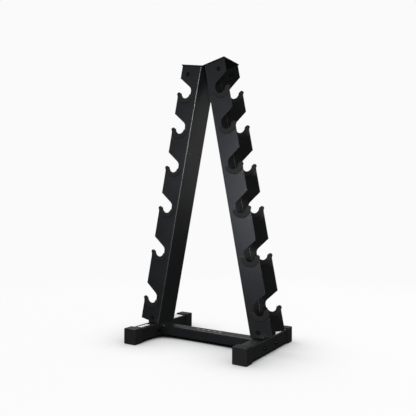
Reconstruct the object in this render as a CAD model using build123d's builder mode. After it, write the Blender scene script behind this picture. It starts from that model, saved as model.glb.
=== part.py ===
"""Six-tier A-frame dumbbell rack.

Two folded-sheet uprights lean together over an H-shaped base of square tube. A folded
plate ties their tops, a welded bracket on each foot takes their lower ends, and a moulded
saddle clips over the sheet in each of the notches that the dumbbell handles rest in.

Millimetres. Z is up and the floor is Z = 0. X runs along the crossbar, Y along the feet.
"""

from build123d import *
from math import cos, radians, sin, sqrt
import os

# ---------------------------------------------------------------- driving dimensions
FOOT_SPACING = 500.0        # between the centrelines of the two feet
FOOT_LENGTH = 404.0         # over the end caps
FOOT_TUBE = 50.0            # square tube
TUBE_WALL = 2.0

CAP_SIDE = 4.0              # cap wall beside, above and beyond the tube
CAP_PAD = 8.0               # cap floor under the tube
CAP_DEPTH = 42.0

CROSSBAR_DEPTH = 52.0       # along Y
CROSSBAR_HEIGHT = 38.0
CROSSBAR_LIFT = 10.0        # clear of the floor
END_PLATE = 4.0             # thickness of the plates welded to the crossbar
END_PLATE_WIDTH = 126.0
CROSSBAR_BOLT_SPACING = 98.0

LEAN = 11.26                # degrees from vertical
UPRIGHT_LENGTH = 1081.0
UPRIGHT_DEPTH = 114.0       # over the two flanges, along Y
FLANGE = 92.5               # web face to the free edge of the flange
SHEET = 2.5
BEND = 4.0                  # outer bend radius of the folded sheet
WEB_AT_FOOT = 218.3         # X of the web face where it meets the foot

TOP_CORNER = 1027.5         # upper corner of the top notch, along the upright
PITCHES = (146.0, 161.5, 172.0, 188.5, 203.5)   # from each notch down to the next

NOTCH_DROP = 36.5           # fall of the sloping lead-in
NOTCH_ROUND = 20.0          # radius between the lead-in and the seat
SEAT_OUT = 55.3             # seat centre from the web face
SEAT_BELOW = 56.8           # seat centre below the notch corner
SEAT_RADIUS = 24.5          # seat cut in the sheet
HOOK_DROP = 7.5             # hook shoulder below the seat centre
HOOK_RISE = 5.5             # rounded hook tip above its shoulder

LINER = 3.0                 # lip of the moulded saddle, inside the seat
RIM_RADIUS = 41.0
RIM_SHIFT = 2.0             # rim centre out from the seat centre
RIM = 2.5                   # thickness of the rim on each face of the flange
RIM_ROUND = 1.8
CUSP_BELOW = 3.0            # inner end of the rim below the seat centre
NOSE_RADIUS = 8.5           # rounded nose over the hook
NOSE_IN = 4.5               # nose centre in from the flange edge
NOSE_BELOW = 8.0            # nose centre below the seat centre

BOLT = 8.0
BOLT_HOLE = 9.0
HEAD_DIAMETER = 15.0
HEAD_HEIGHT = 4.4
HEX_KEY = 5.0
WASHER_DIAMETER = 17.0
WASHER = 1.6
NUT_FLATS = 13.0
NUT_HEIGHT = 6.5
BOLT_TAIL = 2.0             # thread showing past the nut
THREAD_GAP = 0.1            # plain bore of a nut around the plain shank

BRACKET_PLATE = 3.5
BASE_EAR_HEIGHT = 48.0
BASE_EAR_WIDTH = 44.0
BASE_BOLT_RISE = 26.0       # bolt above the foot tube
TOP_EAR_DROP = 52.0
TOP_EAR_NEAR = 20.0         # ear edges, from the web face
TOP_EAR_FAR = 86.0
TOP_BOLT_OUT = 60.5
TOP_BOLT_DROP = 33.5
TOP_PLATE = 3.5
TOP_OVERHANG = 3.5

ACCESSORY_HOLE = 7.0        # pair of holes in each web
ACCESSORY_SPACING = 57.0
ACCESSORY_HEIGHT = 732.5

LABEL = 0.4                 # thickness of the printed trim
LABEL_ROUND = 2.0
DOT_RADIUS = 5.0
MARK_COUNT = 5
MARK_PITCH = 26.0
MARK_LENGTH = 14.0
MARK_WIDTH = 7.0

# ---------------------------------------------------------------- derived positions
TUBE_BOTTOM = CAP_PAD
TUBE_TOP = CAP_PAD + FOOT_TUBE
FOOT_X = FOOT_SPACING / 2
FOOT_INNER = FOOT_X - FOOT_TUBE / 2
TUBE_LENGTH = FOOT_LENGTH - 2 * CAP_SIDE
CROSSBAR_LENGTH = 2 * (FOOT_INNER - END_PLATE)
CROSSBAR_Z = CROSSBAR_LIFT + CROSSBAR_HEIGHT / 2
INSIDE_FLANGE = UPRIGHT_DEPTH / 2 - SHEET
LEAN_SIN = sin(radians(LEAN))
LEAN_COS = cos(radians(LEAN))

SIDES = {"left": -1, "right": 1}
ENDS = {"front": -1, "rear": 1}
NOTCHES = [TOP_CORNER - sum(PITCHES[:tier]) for tier in range(len(PITCHES) + 1)]


def flange_plane(side):
    """Plane of an upright's side view: x out from the web, y up the upright, z along Y."""
    return Plane(
        origin=(side * WEB_AT_FOOT, 0, TUBE_TOP),
        x_dir=(side * LEAN_COS, 0, LEAN_SIN),
        z_dir=(0, -side, 0),
    )


def upright_point(side, out, up, depth=0.0):
    """Place of a point given out from the web and up along the upright."""
    x = side * (WEB_AT_FOOT - up * LEAN_SIN + out * LEAN_COS)
    return Vector(x, depth, TUBE_TOP + up * LEAN_COS + out * LEAN_SIN)


def corner_edges(upright, side_view, out, depth):
    """The two long edges of the folded section at a distance out and at plus or minus depth."""
    return upright.edges().filter_by(
        lambda edge: edge.length > UPRIGHT_LENGTH - 1
        and abs(abs(edge.center().Y) - depth) < 0.01
        and abs(side_view.to_local_coords(edge.center()).X - out) < 0.01
    )


def save(piece, label):
    """Name a finished piece and write it as its own STEP file."""
    piece.part.label = label
    export_step(piece.part, f"parts/{label}.step")


def fastener_frame(place, direction):
    """Plane on a clamped face, with its z pointing out of the face."""
    return Plane(origin=place, x_dir=(0, 0, 1), z_dir=direction)


os.makedirs("parts", exist_ok=True)

# ---------------------------------------------------------------- fastener places
# Each entry is the outer face under a bolt head, the direction the head points,
# and the thickness that the bolt clamps.
TOP_GRIP = SHEET + BRACKET_PLATE
top_places = []
base_places = []
crossbar_places = []
base_rise = BASE_BOLT_RISE
base_out = (FOOT_X - WEB_AT_FOOT) * LEAN_COS + base_rise * LEAN_SIN
base_up = base_rise * LEAN_COS - (FOOT_X - WEB_AT_FOOT) * LEAN_SIN
for side in SIDES.values():
    for end in ENDS.values():
        face_y = end * UPRIGHT_DEPTH / 2
        top_bolt = upright_point(side, TOP_BOLT_OUT, UPRIGHT_LENGTH - TOP_BOLT_DROP, face_y)
        top_places.append((top_bolt, Vector(0, end, 0), TOP_GRIP))
        base_bolt = upright_point(side, base_out, base_up, face_y)
        base_places.append((base_bolt, Vector(0, end, 0), TOP_GRIP))
        crossbar_bolt = Vector(
            side * (FOOT_X + FOOT_TUBE / 2), end * CROSSBAR_BOLT_SPACING / 2, CROSSBAR_Z
        )
        crossbar_places.append((crossbar_bolt, Vector(side, 0, 0), FOOT_TUBE + END_PLATE))

# ---------------------------------------------------------------- uprights
uprights = {}
for name, side in SIDES.items():
    side_view = flange_plane(side)
    section = Plane(
        origin=side_view.origin, x_dir=side_view.x_dir, z_dir=side_view.y_dir
    )
    with BuildPart() as upright:
        with BuildSketch(section):
            with Locations((FLANGE / 2, 0)):
                Rectangle(FLANGE, UPRIGHT_DEPTH)
            with Locations((FLANGE / 2 + SHEET, 0)):
                Rectangle(FLANGE, UPRIGHT_DEPTH - 2 * SHEET, mode=Mode.SUBTRACT)
        extrude(amount=UPRIGHT_LENGTH)
        fillet(corner_edges(upright, side_view, 0, UPRIGHT_DEPTH / 2), BEND)
        fillet(corner_edges(upright, side_view, SHEET, INSIDE_FLANGE), BEND - SHEET)
        for corner in NOTCHES:
            seat_y = corner - SEAT_BELOW
            inner_x = SEAT_OUT - SEAT_RADIUS
            slope = NOTCH_DROP / (FLANGE - inner_x)
            clear_x = FLANGE + 12
            hook_y = seat_y - HOOK_DROP
            hook_x = SEAT_OUT + sqrt(SEAT_RADIUS**2 - HOOK_DROP**2)
            with BuildSketch(side_view):
                with BuildLine():
                    lead_in = FilletPolyline(
                        (clear_x, corner + slope * (clear_x - FLANGE)),
                        (inner_x, corner - NOTCH_DROP),
                        (inner_x, seat_y),
                        radius=NOTCH_ROUND,
                    )
                    seat = ThreePointArc(
                        lead_in @ 1, (SEAT_OUT, seat_y - SEAT_RADIUS), (hook_x, hook_y)
                    )
                    tip = ThreePointArc(
                        seat @ 1, ((hook_x + FLANGE) / 2, hook_y + HOOK_RISE), (FLANGE, hook_y)
                    )
                    Polyline(tip @ 1, (clear_x, hook_y), lead_in @ 0)
                make_face()
            extrude(amount=UPRIGHT_DEPTH, both=True, mode=Mode.SUBTRACT)
        for out, up in (
            (TOP_BOLT_OUT, UPRIGHT_LENGTH - TOP_BOLT_DROP),
            (base_out, base_up),
        ):
            with BuildSketch(side_view):
                with Locations((out, up)):
                    Circle(BOLT_HOLE / 2)
            extrude(amount=UPRIGHT_DEPTH, both=True, mode=Mode.SUBTRACT)
        web_view = Plane(
            origin=upright_point(side, 0, ACCESSORY_HEIGHT),
            x_dir=(0, 1, 0),
            z_dir=side_view.x_dir,
        )
        with BuildSketch(web_view):
            with GridLocations(ACCESSORY_SPACING, 1, 2, 1):
                Circle(ACCESSORY_HOLE / 2)
        extrude(amount=SHEET * 2, both=True, mode=Mode.SUBTRACT)
    uprights[name] = upright
    save(upright, f"{name}_upright")

# ---------------------------------------------------------------- saddles
# Each saddle is a clip of U section over the edge of one flange: a lip lines the seat,
# a rim lies on each face of the sheet, and a round nose caps the hook.
bore = SEAT_RADIUS - LINER
clip = SHEET + 2 * RIM
for side_name, side in SIDES.items():
    side_view = flange_plane(side)
    for end_name, end in ENDS.items():
        flange_middle = side_view.offset(-side * end * (UPRIGHT_DEPTH - SHEET) / 2)
        for tier, corner in enumerate(NOTCHES, start=1):
            seat_y = corner - SEAT_BELOW
            with BuildPart() as saddle:
                with BuildSketch(flange_middle):
                    with Locations((SEAT_OUT + RIM_SHIFT, seat_y)):
                        Circle(RIM_RADIUS)
                    with Locations((SEAT_OUT, seat_y - CUSP_BELOW + RIM_RADIUS)):
                        Rectangle(4 * RIM_RADIUS, 2 * RIM_RADIUS, mode=Mode.SUBTRACT)
                    with Locations((FLANGE + RIM_RADIUS, seat_y)):
                        Rectangle(2 * RIM_RADIUS, 4 * RIM_RADIUS, mode=Mode.SUBTRACT)
                    with Locations((FLANGE - NOSE_IN, seat_y - NOSE_BELOW)):
                        Circle(NOSE_RADIUS)
                    with Locations((SEAT_OUT, seat_y)):
                        Circle(bore, mode=Mode.SUBTRACT)
                extrude(amount=clip / 2, both=True)
                rims = saddle.faces().filter_by(Axis.Y)
                fillet(rims.edges(), RIM_ROUND)
                add(uprights[side_name].part, mode=Mode.SUBTRACT)
            save(saddle, f"{side_name}_{end_name}_saddle_{tier}")

# ---------------------------------------------------------------- top bracket
with BuildPart() as top_bracket:
    for side in SIDES.values():
        side_view = flange_plane(side)
        centre_out = -(WEB_AT_FOOT - UPRIGHT_LENGTH * LEAN_SIN) / LEAN_COS
        with BuildSketch(side_view):
            with BuildLine():
                Polyline(
                    (centre_out, UPRIGHT_LENGTH),
                    (FLANGE + TOP_OVERHANG, UPRIGHT_LENGTH),
                    (FLANGE + TOP_OVERHANG, UPRIGHT_LENGTH + TOP_PLATE),
                    (centre_out - TOP_PLATE * LEAN_SIN / LEAN_COS, UPRIGHT_LENGTH + TOP_PLATE),
                    close=True,
                )
            make_face()
        extrude(amount=UPRIGHT_DEPTH / 2 + TOP_OVERHANG, both=True)
        for end in ENDS.values():
            ear_middle = end * (INSIDE_FLANGE - BRACKET_PLATE / 2)
            with BuildSketch(side_view.offset(ear_middle)):
                with Locations(
                    (
                        (TOP_EAR_NEAR + TOP_EAR_FAR) / 2,
                        UPRIGHT_LENGTH - TOP_EAR_DROP / 2,
                    )
                ):
                    Rectangle(TOP_EAR_FAR - TOP_EAR_NEAR, TOP_EAR_DROP)
                with Locations((TOP_BOLT_OUT, UPRIGHT_LENGTH - TOP_BOLT_DROP)):
                    Circle(BOLT_HOLE / 2, mode=Mode.SUBTRACT)
            extrude(amount=BRACKET_PLATE / 2, both=True)
save(top_bracket, "top_bracket")

# ---------------------------------------------------------------- feet
for name, side in SIDES.items():
    with BuildPart() as foot_tube:
        with Locations((side * FOOT_X, 0, (TUBE_BOTTOM + TUBE_TOP) / 2)):
            Box(FOOT_TUBE, TUBE_LENGTH, FOOT_TUBE)
            long_edges = foot_tube.edges().filter_by(Axis.Y)
            fillet(long_edges, 3)
            inside = FOOT_TUBE - 2 * TUBE_WALL
            Box(inside, TUBE_LENGTH + 2, inside, mode=Mode.SUBTRACT)
        with Locations(
            *[
                Location((side * FOOT_X, end * CROSSBAR_BOLT_SPACING / 2, CROSSBAR_Z), (0, 90, 0))
                for end in ENDS.values()
            ]
        ):
            Cylinder(BOLT_HOLE / 2, FOOT_TUBE + 2, mode=Mode.SUBTRACT)
    save(foot_tube, f"{name}_foot_tube")

    with BuildPart() as foot_bracket:
        outer_y = 2 * INSIDE_FLANGE
        with BuildSketch(Plane.YZ.offset(side * FOOT_X)):
            with Locations((0, TUBE_TOP + BASE_EAR_HEIGHT / 2)):
                Rectangle(outer_y, BASE_EAR_HEIGHT)
            with Locations((0, TUBE_TOP + BASE_EAR_HEIGHT / 2 + BRACKET_PLATE)):
                Rectangle(outer_y - 2 * BRACKET_PLATE, BASE_EAR_HEIGHT, mode=Mode.SUBTRACT)
        extrude(amount=BASE_EAR_WIDTH / 2, both=True)
        bends = foot_bracket.edges().filter_by(Axis.X).group_by(Axis.Z)[0]
        fillet(bends, BRACKET_PLATE + 2)
        inner_bends = foot_bracket.edges().filter_by(Axis.X).filter_by(
            lambda e: abs(e.center().Z - TUBE_TOP - BRACKET_PLATE) < 0.01
            and abs(abs(e.center().Y) - outer_y / 2 + BRACKET_PLATE) < 0.01
        )
        fillet(inner_bends, 2)
        ear_tops = foot_bracket.edges().filter_by(Axis.Y).group_by(Axis.Z)[-1]
        fillet(ear_tops, 10)
        with Locations(Location((side * FOOT_X, 0, TUBE_TOP + BASE_BOLT_RISE), (90, 0, 0))):
            Cylinder(BOLT_HOLE / 2, UPRIGHT_DEPTH, mode=Mode.SUBTRACT)
    save(foot_bracket, f"{name}_foot_bracket")

# ---------------------------------------------------------------- foot end caps
for side_name, side in SIDES.items():
    for end_name, end in ENDS.items():
        cap_height = CAP_PAD + FOOT_TUBE + CAP_SIDE
        cap_y = end * (FOOT_LENGTH - CAP_DEPTH) / 2
        with BuildPart() as cap:
            with Locations((side * FOOT_X, cap_y, cap_height / 2)):
                Box(FOOT_TUBE + 2 * CAP_SIDE, CAP_DEPTH, cap_height)
            fillet(cap.edges().filter_by(Axis.Y), 3)
            outer_face = cap.faces().sort_by(Axis.Y)[0 if end < 0 else -1]
            fillet(outer_face.edges(), 1.5)
            with Locations(
                (side * FOOT_X, cap_y - end * CAP_SIDE, (TUBE_BOTTOM + TUBE_TOP) / 2)
            ):
                Box(FOOT_TUBE, CAP_DEPTH, FOOT_TUBE, mode=Mode.SUBTRACT)
        save(cap, f"{side_name}_{end_name}_cap")

# ---------------------------------------------------------------- crossbar
with BuildPart() as crossbar:
    with Locations((0, 0, CROSSBAR_Z)):
        Box(CROSSBAR_LENGTH, CROSSBAR_DEPTH, CROSSBAR_HEIGHT)
        fillet(crossbar.edges().filter_by(Axis.X), 3)
        Box(
            CROSSBAR_LENGTH + 2,
            CROSSBAR_DEPTH - 2 * TUBE_WALL,
            CROSSBAR_HEIGHT - 2 * TUBE_WALL,
            mode=Mode.SUBTRACT,
        )
save(crossbar, "crossbar")

for name, side in SIDES.items():
    with BuildPart() as end_plate:
        with BuildSketch(Plane.YZ.offset(side * (FOOT_INNER - END_PLATE / 2))):
            with Locations((0, CROSSBAR_Z)):
                RectangleRounded(END_PLATE_WIDTH, CROSSBAR_HEIGHT, 6)
                with GridLocations(CROSSBAR_BOLT_SPACING, 1, 2, 1):
                    Circle(BOLT_HOLE / 2, mode=Mode.SUBTRACT)
        extrude(amount=END_PLATE / 2, both=True)
    save(end_plate, f"{name}_end_plate")

# ---------------------------------------------------------------- fasteners
for joint, places in {
    "top": top_places,
    "base": base_places,
    "crossbar": crossbar_places,
}.items():
    with BuildPart() as bolts:
        for place, outward, grip in places:
            head_plane = fastener_frame(place + outward * WASHER, outward)
            shank = WASHER + grip + NUT_HEIGHT + BOLT_TAIL
            with BuildSketch(head_plane):
                Circle(HEAD_DIAMETER / 2)
            extrude(amount=HEAD_HEIGHT, taper=22)
            with BuildSketch(head_plane.offset(HEAD_HEIGHT)):
                RegularPolygon(HEX_KEY / 2, 6, major_radius=False)
            extrude(amount=-HEAD_HEIGHT * 0.6, mode=Mode.SUBTRACT)
            with BuildSketch(head_plane):
                Circle(BOLT / 2)
            extrude(amount=-shank)
    save(bolts, f"{joint}_bolts")

    with BuildPart() as washers:
        for place, outward, grip in places:
            with BuildSketch(fastener_frame(place, outward)):
                Circle(WASHER_DIAMETER / 2)
                Circle(BOLT_HOLE / 2, mode=Mode.SUBTRACT)
            extrude(amount=WASHER)
    save(washers, f"{joint}_washers")

    with BuildPart() as nuts:
        for place, outward, grip in places:
            with BuildSketch(fastener_frame(place - outward * grip, outward)):
                RegularPolygon(NUT_FLATS / 2, 6, major_radius=False)
                Circle(BOLT / 2 + THREAD_GAP, mode=Mode.SUBTRACT)
            extrude(amount=-NUT_HEIGHT)
    save(nuts, f"{joint}_nuts")

# ---------------------------------------------------------------- printed trim
SHORT_LABEL = (20.0, 56.0)
WIDE_LABEL = (36.0, 78.0)
for name, x, y, (width, length) in (
    ("left_front_label", -FOOT_X, -112.0, SHORT_LABEL),
    ("left_rear_label", -FOOT_X, 106.0, WIDE_LABEL),
    ("right_rear_label", FOOT_X + 11.0, 84.0, SHORT_LABEL),
):
    with BuildPart() as label:
        with BuildSketch(Plane.XY.offset(TUBE_TOP)):
            with Locations((x, y)):
                RectangleRounded(width, length, LABEL_ROUND)
        extrude(amount=LABEL)
    save(label, name)

with BuildPart() as inspection_dot:
    with BuildSketch(Plane.XY.offset(TUBE_TOP)):
        with Locations((FOOT_X + 15.0, 152.0)):
            Circle(DOT_RADIUS)
    extrude(amount=LABEL)
save(inspection_dot, "inspection_dot")

with BuildPart() as crossbar_mark:
    with BuildSketch(Plane.XY.offset(CROSSBAR_LIFT + CROSSBAR_HEIGHT)):
        with GridLocations(MARK_PITCH, 1, MARK_COUNT, 1):
            RectangleRounded(MARK_LENGTH, MARK_WIDTH, LABEL_ROUND)
    extrude(amount=LABEL)
save(crossbar_mark, "crossbar_mark")
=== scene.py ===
"""Looks, light and camera for the six-tier dumbbell rack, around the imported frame. Metres."""

import math

import bpy
from mathutils import Matrix, Vector

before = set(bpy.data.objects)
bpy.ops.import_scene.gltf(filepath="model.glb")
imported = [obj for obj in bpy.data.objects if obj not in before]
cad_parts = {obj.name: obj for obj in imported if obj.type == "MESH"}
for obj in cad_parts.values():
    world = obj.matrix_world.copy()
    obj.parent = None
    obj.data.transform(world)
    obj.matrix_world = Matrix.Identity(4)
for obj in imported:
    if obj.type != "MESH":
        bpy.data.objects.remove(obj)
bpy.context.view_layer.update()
MM = 0.001

# Sockets of a Mix node that take and give colours.
MIX_A = 6
MIX_B = 7
MIX_RESULT = 2

# ------------------------------------------------------------------ node helpers


def new_material(name):
    """A new material with an empty tree, and that tree."""
    material = bpy.data.materials.new(name)
    material.use_nodes = True
    material.node_tree.nodes.clear()
    return material, material.node_tree


def link(tree, source, target):
    """Join an output to an input socket, or set the input to a plain value."""
    if isinstance(source, bpy.types.NodeSocket):
        tree.links.new(source, target)
    else:
        target.default_value = source


def node(tree, kind, settings=None, **inputs):
    """A node with its properties and inputs set; an underscore stands for a space."""
    made = tree.nodes.new(kind)
    for key, value in (settings or {}).items():
        setattr(made, key, value)
    for key, value in inputs.items():
        link(tree, value, made.inputs[key.replace("_", " ")])
    return made


def maths(tree, operation, a, b=0.0, clamp=False):
    """One Math node."""
    made = node(tree, "ShaderNodeMath", {"operation": operation, "use_clamp": clamp})
    link(tree, a, made.inputs[0])
    link(tree, b, made.inputs[1])
    return made.outputs[0]


def ramp(tree, value, low, high, to_low=0.0, to_high=1.0):
    """A clamped smooth ramp of a value."""
    made = node(
        tree,
        "ShaderNodeMapRange",
        {"interpolation_type": "SMOOTHSTEP"},
        Value=value,
        From_Min=low,
        From_Max=high,
        To_Min=to_low,
        To_Max=to_high,
    )
    return made.outputs["Result"]


def mix(tree, factor, a, b):
    """A colour mix."""
    made = node(tree, "ShaderNodeMix", {"data_type": "RGBA"})
    link(tree, factor, made.inputs["Factor"])
    link(tree, a, made.inputs[MIX_A])
    link(tree, b, made.inputs[MIX_B])
    return made.outputs[MIX_RESULT]


def place(tree, scale=(1, 1, 1)):
    """Object coordinates, which are the row frame's metres, stretched by a scale."""
    where = node(tree, "ShaderNodeTexCoord").outputs["Object"]
    return node(tree, "ShaderNodeMapping", Vector=where, Scale=scale).outputs["Vector"]


def noise(tree, where, scale, detail=2.0, roughness=0.5, distortion=0.0):
    """A noise value from 0 to 1, with a scale in cycles per metre."""
    made = node(
        tree,
        "ShaderNodeTexNoise",
        Vector=where,
        Scale=scale,
        Detail=detail,
        Roughness=roughness,
        Distortion=distortion,
    )
    return made.outputs["Fac"]


def rounded(tree, radius):
    """Normal of the surface with its edges eased, and a mask of 1 along those edges."""
    eased = node(tree, "ShaderNodeBevel", {"samples": 6}, Radius=radius).outputs["Normal"]
    true = node(tree, "ShaderNodeNewGeometry").outputs["Normal"]
    dot = node(tree, "ShaderNodeVectorMath", {"operation": "DOT_PRODUCT"})
    link(tree, eased, dot.inputs[0])
    link(tree, true, dot.inputs[1])
    return eased, ramp(tree, dot.outputs["Value"], 0.995, 0.8)


def crevice(tree, reach):
    """1 in the open, falling towards 0 in corners and along raised rims: the mask for painted shade."""
    near = node(tree, "ShaderNodeAmbientOcclusion", {"samples": 8}, Distance=reach)
    return ramp(tree, near.outputs["AO"], 0.35, 0.95)


def facing_up(tree):
    """1 on surfaces that face upwards."""
    true = node(tree, "ShaderNodeNewGeometry").outputs["Normal"]
    parts = node(tree, "ShaderNodeSeparateXYZ", Vector=true)
    return ramp(tree, parts.outputs["Z"], 0.55, 0.95)


def on_bends(tree):
    """1 along the upright bends, where the surface faces between front and side: the mask for a painted
    sheen.
    """
    true = node(tree, "ShaderNodeNewGeometry").outputs["Normal"]
    parts = node(tree, "ShaderNodeSeparateXYZ", Vector=true)
    both = maths(tree, "MULTIPLY", parts.outputs["X"], parts.outputs["Y"])
    return ramp(tree, maths(tree, "ABSOLUTE", both), 0.12, 0.4)


def bump(tree, height, distance, strength, normal=None):
    """A bump from a height, over another normal if one is given."""
    made = node(
        tree, "ShaderNodeBump", Height=height, Distance=distance, Strength=strength
    )
    if normal is not None:
        link(tree, normal, made.inputs["Normal"])
    return made.outputs["Normal"]


def finish_material(tree, **inputs):
    """A Principled shader as the surface."""
    shader = node(tree, "ShaderNodeBsdfPrincipled", **inputs)
    out = node(tree, "ShaderNodeOutputMaterial")
    tree.links.new(shader.outputs["BSDF"], out.inputs["Surface"])


def grey(value, warm=0.0):
    """A near-neutral colour; warm above 0 leans to red, below 0 to blue."""
    return (value * (1 + warm), value, value * (1 - warm), 1.0)


# ------------------------------------------------------------------ materials


def powder_coat():
    """Satin black polyester powder on folded steel: orange peel, faint mottling, rubbed edges, with
    painted shade in corners and a painted sheen along the bends.
    """
    material, tree = new_material("Powder_Coat")
    where = place(tree)
    peel = noise(tree, where, 700.0, 2.0)
    grain = noise(tree, where, 2600.0, 1.0)
    mottle = noise(tree, where, 9.0, 4.0, 0.6, 0.4)
    handled = noise(tree, where, 38.0, 5.0, 0.65)
    normal, edge = rounded(tree, 0.7 * MM)
    open_face = crevice(tree, 4.0 * MM)
    base = mix(tree, mottle, grey(0.0070, -0.05), grey(0.0105, -0.03))
    base = mix(tree, ramp(tree, grain, 0.58, 0.8, 0.0, 0.35), base, grey(0.040, -0.03))
    rubbed = maths(tree, "MULTIPLY", edge, ramp(tree, handled, 0.42, 0.66, 0.2, 0.8))
    base = mix(tree, rubbed, base, grey(0.06, -0.02))
    dust = maths(tree, "MULTIPLY", facing_up(tree), ramp(tree, handled, 0.35, 0.7, 0.05, 0.35))
    base = mix(tree, dust, base, grey(0.05, 0.03))
    # Painted highlight: the base is lighter along the upright bends.
    bend_sheen = on_bends(tree)
    base = mix(tree, bend_sheen, base, grey(0.03))
    # Painted shade: the base goes near black in corners and along raised rims, where shade falls.
    base = mix(tree, open_face, grey(0.003), base)
    # Specular level: lowered in corners as painted shade, raised along the bends as a painted sheen.
    shine = maths(tree, "MULTIPLY", open_face, ramp(tree, bend_sheen, 0.0, 1.0, 0.44, 0.9))
    rough = ramp(tree, mottle, 0.3, 0.75, 0.31, 0.37)
    rough = maths(tree, "SUBTRACT", rough, maths(tree, "MULTIPLY", rubbed, 0.08))
    height = maths(tree, "ADD", peel, maths(tree, "MULTIPLY", grain, 0.35))
    finish_material(
        tree,
        Base_Color=base,
        Roughness=rough,
        Specular_IOR_Level=shine,
        Normal=bump(tree, height, 0.06 * MM, 0.55, normal),
    )
    return material


def moulded(name, dark, light, roughness, texture, warm):
    """Injection-moulded black plastic: spark-eroded grain, flow marks and polish where it is touched."""
    material, tree = new_material(name)
    where = place(tree)
    flow = noise(tree, where, 24.0, 3.0, 0.55, 1.2)
    scuff = noise(tree, place(tree, (1.0, 0.14, 1.0)), 420.0, 3.0, 0.6)
    cells = node(
        tree, "ShaderNodeTexVoronoi", {"feature": "SMOOTH_F1"}, Vector=where, Scale=texture
    ).outputs["Distance"]
    normal, edge = rounded(tree, 0.5 * MM)
    base = mix(tree, flow, grey(dark, warm), grey(light, warm))
    worn = maths(tree, "MULTIPLY", facing_up(tree), ramp(tree, scuff, 0.52, 0.72, 0.0, 0.2))
    base = mix(tree, worn, base, grey(light * 2.6, warm))
    base = mix(tree, maths(tree, "MULTIPLY", edge, 0.2), base, grey(light * 1.8, warm))
    rough = ramp(tree, flow, 0.3, 0.7, roughness - 0.05, roughness + 0.05)
    rough = maths(tree, "SUBTRACT", rough, maths(tree, "MULTIPLY", worn, 0.16))
    finish_material(
        tree,
        Base_Color=base,
        Roughness=rough,
        Specular_IOR_Level=0.25,
        Normal=bump(tree, cells, 0.05 * MM, 0.5, normal),
    )
    return material


def black_oxide():
    """Black-oxide steel of the fasteners: metal with a thin dark film, turned marks and worn rims."""
    material, tree = new_material("Black_Oxide")
    where = place(tree)
    film = noise(tree, where, 160.0, 4.0, 0.6)
    turned = noise(tree, where, 3200.0, 1.0)
    normal, edge = rounded(tree, 0.35 * MM)
    base = mix(tree, film, grey(0.014, -0.04), grey(0.032, 0.02))
    base = mix(tree, maths(tree, "MULTIPLY", edge, 0.4), base, grey(0.06, 0.02))
    finish_material(
        tree,
        Base_Color=base,
        Metallic=1.0,
        Roughness=ramp(tree, film, 0.25, 0.75, 0.42, 0.58),
        Normal=bump(tree, turned, 0.02 * MM, 0.4, normal),
    )
    return material


def print_film(name, paper, ink, line_pitch, coverage):
    """Self-adhesive film with plain printed bars and a little grime."""
    material, tree = new_material(name)
    where = place(tree)
    fibre = noise(tree, where, 900.0, 3.0, 0.6)
    grime = noise(tree, where, 60.0, 4.0, 0.6)
    parts = node(tree, "ShaderNodeSeparateXYZ", Vector=where)
    wave = maths(tree, "SINE", maths(tree, "MULTIPLY", parts.outputs["Y"], math.tau / line_pitch))
    breaks = noise(tree, place(tree, (1.0, 0.02, 1.0)), 260.0, 0.0)
    bars = maths(
        tree,
        "MULTIPLY",
        ramp(tree, wave, 0.25, 0.55),
        ramp(tree, breaks, 0.5 - coverage, 0.52 - coverage),
    )
    base = mix(tree, ramp(tree, grime, 0.4, 0.75, 0.0, 0.35), paper, grey(0.35, 0.08))
    base = mix(tree, maths(tree, "MULTIPLY", bars, 0.7), base, ink)
    finish_material(
        tree,
        Base_Color=base,
        Roughness=ramp(tree, fibre, 0.3, 0.7, 0.42, 0.58),
        Specular_IOR_Level=0.45,
        Normal=bump(tree, fibre, 0.03 * MM, 0.35),
    )
    return material


# A coverage this low leaves a film plain, as no noise value reaches the bars.
NO_BARS = -0.4

FINISHES = {
    "powder_coated_steel": powder_coat(),
    "saddle_plastic": moulded(
        "Saddle_Plastic", dark=0.010, light=0.015, roughness=0.50, texture=1500.0, warm=0.12
    ),
    "cap_plastic": moulded(
        "Cap_Plastic", dark=0.0085, light=0.013, roughness=0.55, texture=1100.0, warm=0.02
    ),
    "fastener_steel": black_oxide(),
    "label_film": print_film(
        "Label_Film",
        paper=(0.80, 0.755, 0.735, 1.0),
        ink=(0.42, 0.24, 0.21, 1.0),
        line_pitch=4.5 * MM,
        coverage=0.02,
    ),
    "dot_film": print_film(
        "Dot_Film",
        paper=(0.42, 0.16, 0.19, 1.0),
        ink=(0.25, 0.07, 0.09, 1.0),
        line_pitch=20 * MM,
        coverage=NO_BARS,
    ),
    "mark_ink": print_film(
        "Mark_Ink", paper=grey(0.30, 0.02), ink=grey(0.12), line_pitch=20 * MM, coverage=NO_BARS
    ),
}
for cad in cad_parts.values():
    for slot in cad.material_slots:
        slot.material = FINISHES[slot.material.name.split(".")[0]]

# ------------------------------------------------------------------ floor

FLOOR_RADIUS = 3.0
FLOOR_RINGS = 6
FLOOR_SPOKES = 48
GROUND_FADE = (1.3, 2.6)
FLOOR_GREYS = (0.100, 0.106)

# The floor's painted shadow, carried by its glow: how open each point is towards SHADE_FROM, within
# SHADE_REACH. The tight part fades over TIGHT_OPEN, and the wide part rises from WIDE_FROM along a
# curve.
FLOOR_GLOW = 0.91
SHADE_FROM = (-0.52, 0.30, 0.80)
SHADE_REACH = 0.3
TIGHT_OPEN = (0.35, 0.59)
TIGHT_SHARE = 0.63
WIDE_FROM = 0.55
WIDE_CURVE = 1.7


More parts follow.
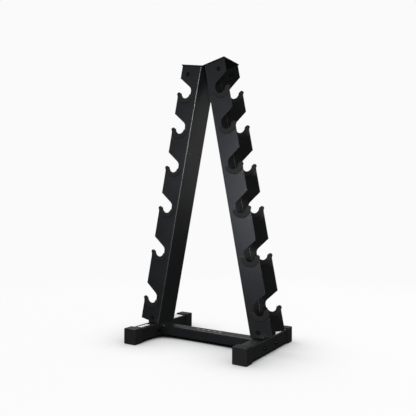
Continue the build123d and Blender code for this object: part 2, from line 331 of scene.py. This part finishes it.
def disc(name, radius, rings, spokes):
    """A flat round floor with its top at Z = 0."""
    points = [(0.0, 0.0, 0.0)]
    for ring in range(1, rings + 1):
        for spoke in range(spokes):
            turn = math.tau * spoke / spokes
            reach = radius * ring / rings
            points.append((reach * math.cos(turn), reach * math.sin(turn), 0.0))
    faces = [(0, 1 + s, 1 + (s + 1) % spokes) for s in range(spokes)]
    for ring in range(rings - 1):
        near, far = 1 + ring * spokes, 1 + (ring + 1) * spokes
        for s in range(spokes):
            t = (s + 1) % spokes
            faces.append((near + s, far + s, far + t, near + t))
    mesh = bpy.data.meshes.new(name)
    mesh.from_pydata(points, [], faces)
    made = bpy.data.objects.new(name, mesh)
    bpy.context.scene.collection.objects.link(made)
    return made


def floor_material():
    """Matte paper whose glow carries a painted soft shadow to one side, and which fades into the white
    surround.
    """
    material, tree = new_material("Studio_Floor")
    where = place(tree)
    reach = node(tree, "ShaderNodeVectorMath", {"operation": "LENGTH"})
    link(tree, where, reach.inputs[0])
    tooth = noise(tree, where, 55.0, 3.0)
    matte = node(
        tree,
        "ShaderNodeBsdfDiffuse",
        Color=mix(tree, tooth, *[grey(value) for value in FLOOR_GREYS]),
        Roughness=0.9,
    )
    near = node(
        tree,
        "ShaderNodeAmbientOcclusion",
        {"samples": 16},
        Distance=SHADE_REACH,
        Normal=SHADE_FROM,
    ).outputs["AO"]
    tight = ramp(tree, near, *TIGHT_OPEN, 0.0, TIGHT_SHARE)
    beyond = maths(tree, "SUBTRACT", near, WIDE_FROM, clamp=True)
    beyond = maths(tree, "POWER", maths(tree, "DIVIDE", beyond, 1.0 - WIDE_FROM), WIDE_CURVE)
    wide = maths(tree, "MULTIPLY", beyond, 1.0 - TIGHT_SHARE)
    # Painted shadow: the floor's glow dims where the floor is less open towards SHADE_FROM.
    glow_with_painted_shadow = maths(tree, "MULTIPLY", maths(tree, "ADD", tight, wide), FLOOR_GLOW)
    lift = node(tree, "ShaderNodeEmission", Color=grey(1.0), Strength=glow_with_painted_shadow)
    both = node(tree, "ShaderNodeAddShader")
    link(tree, matte.outputs[0], both.inputs[0])
    link(tree, lift.outputs[0], both.inputs[1])
    clear = node(tree, "ShaderNodeBsdfTransparent")
    fade = node(tree, "ShaderNodeMixShader")
    link(tree, ramp(tree, reach.outputs["Value"], *GROUND_FADE), fade.inputs["Fac"])
    link(tree, both.outputs[0], fade.inputs[1])
    link(tree, clear.outputs[0], fade.inputs[2])
    out = node(tree, "ShaderNodeOutputMaterial")
    link(tree, fade.outputs[0], out.inputs["Surface"])
    return material


floor = disc("Studio_Floor", FLOOR_RADIUS, FLOOR_RINGS, FLOOR_SPOKES)
floor.data.materials.append(floor_material())
floor.visible_diffuse = False
floor.visible_glossy = False

# ------------------------------------------------------------------ light

WHITE = 0.955
WORLD_LEVELS = (0.04, 0.24)
FRONT_CAST = (0.80, 0.86, 1.0, 1.0)
REST_CAST = (0.98, 1.0, 0.98, 1.0)
COOL = (0.84, 0.89, 1.0)
SUN_FROM = (-0.8, 0.3, 1.3)
SUN_SPREAD = 50.0
SUN_STRENGTH = 2.8
PANEL_AWAY = 3.0
PANEL_SIZE = (1.2, 1.6)
PANEL_POWER = 5.0

# Area lights take this collection as their receivers, and it leaves the floor out.
UNLIT = bpy.data.collections.new("Floor_Only")
UNLIT.objects.link(floor)
UNLIT.collection_objects[0].light_linking.link_state = "EXCLUDE"


def area_light(name, position, target, size, power, colour=(1.0, 1.0, 1.0)):
    """A rectangular soft light aimed at a point, which leaves the floor alone."""
    data = bpy.data.lights.new(name, "AREA")
    data.shape = "RECTANGLE"
    data.size, data.size_y = size
    data.energy = power
    data.color = colour
    made = bpy.data.objects.new(name, data)
    made.location = position
    aim = Vector(target) - Vector(position)
    made.rotation_euler = aim.to_track_quat("-Z", "Y").to_euler()
    made.light_linking.receiver_collection = UNLIT
    bpy.context.scene.collection.objects.link(made)


def soft_sun(direction, spread, strength):
    """A wide, even light from one side; its spread in degrees softens the shadow."""
    data = bpy.data.lights.new("Soft_Sun", "SUN")
    data.energy = strength
    data.angle = math.radians(spread)
    made = bpy.data.objects.new("Soft_Sun", data)
    made.rotation_euler = (-Vector(direction)).to_track_quat("-Z", "Y").to_euler()
    bpy.context.scene.collection.objects.link(made)


def surround():
    """White to the camera; as a light, brighter from above and cooler from the front."""
    world = bpy.data.worlds.new("Studio")
    bpy.context.scene.world = world
    world.use_nodes = True
    tree = world.node_tree
    tree.nodes.clear()
    seen = node(tree, "ShaderNodeBackground", Color=grey(WHITE), Strength=1.0)
    way = node(tree, "ShaderNodeTexCoord").outputs["Generated"]
    parts = node(tree, "ShaderNodeSeparateXYZ", Vector=way)
    level = ramp(tree, parts.outputs["Z"], -0.2, 0.4, *WORLD_LEVELS)
    in_front = ramp(tree, parts.outputs["Y"], -0.2, -0.9)
    cast = mix(tree, in_front, REST_CAST, FRONT_CAST)
    lamp = node(tree, "ShaderNodeBackground", Color=cast, Strength=level)
    path = node(tree, "ShaderNodeLightPath").outputs["Is Camera Ray"]
    choose = node(tree, "ShaderNodeMixShader")
    link(tree, path, choose.inputs["Fac"])
    link(tree, lamp.outputs[0], choose.inputs[1])
    link(tree, seen.outputs[0], choose.inputs[2])
    out = node(tree, "ShaderNodeOutputWorld")
    link(tree, choose.outputs[0], out.inputs["Surface"])


surround()
soft_sun(SUN_FROM, SUN_SPREAD, SUN_STRENGTH)
area_light("Front_Left", (-0.85, -2.95, 0.75), (0.1, 0.0, 0.6), (0.45, 1.1), 20.0, COOL)
area_light("Edge_Strip", (1.5, -1.95, 0.78), (-0.1, 0.0, 0.78), (0.1, 0.9), 42.0)
area_light("Back_Right", (1.1, 1.75, 0.6), (-0.1, 0.0, 0.7), (0.7, 0.9), 1.0)
for side, x, y in (("Rear", 0.0, 1.0), ("Right", 1.0, 0.0), ("Left", -1.0, 0.0)):
    at = (x * PANEL_AWAY, y * PANEL_AWAY, 0.7)
    area_light(f"{side}_Panel", at, (0.0, 0.0, 0.6), PANEL_SIZE, PANEL_POWER)

# ------------------------------------------------------------------ camera

CAMERA_AT = Vector((1.05876, -1.69231, 0.52769))
YAW = math.radians(-32.22)
PITCH = math.radians(0.62)
ROLL = math.radians(0.27)
LENS = 42.13
SENSOR = 36.0
NEAR_CLIP = 0.05
FAR_CLIP = 50.0


def camera():
    """The camera of the main view."""
    ahead = Vector(
        (math.sin(YAW) * math.cos(PITCH), math.cos(YAW) * math.cos(PITCH), math.sin(PITCH))
    )
    level = Vector((math.cos(YAW), -math.sin(YAW), 0.0))
    above = level.cross(ahead)
    right = math.cos(ROLL) * level + math.sin(ROLL) * above
    up = math.cos(ROLL) * above - math.sin(ROLL) * level
    data = bpy.data.cameras.new("Main_Camera")
    data.lens = LENS
    data.sensor_width = SENSOR
    data.clip_start = NEAR_CLIP
    data.clip_end = FAR_CLIP
    made = bpy.data.objects.new("Main_Camera", data)
    turn = Matrix((right, up, -ahead)).transposed()
    made.matrix_world = Matrix.Translation(CAMERA_AT) @ turn.to_4x4()
    bpy.context.scene.collection.objects.link(made)
    bpy.context.scene.camera = made


camera()
bpy.context.scene.view_settings.view_transform = "Standard"

bpy.context.view_layer.update()
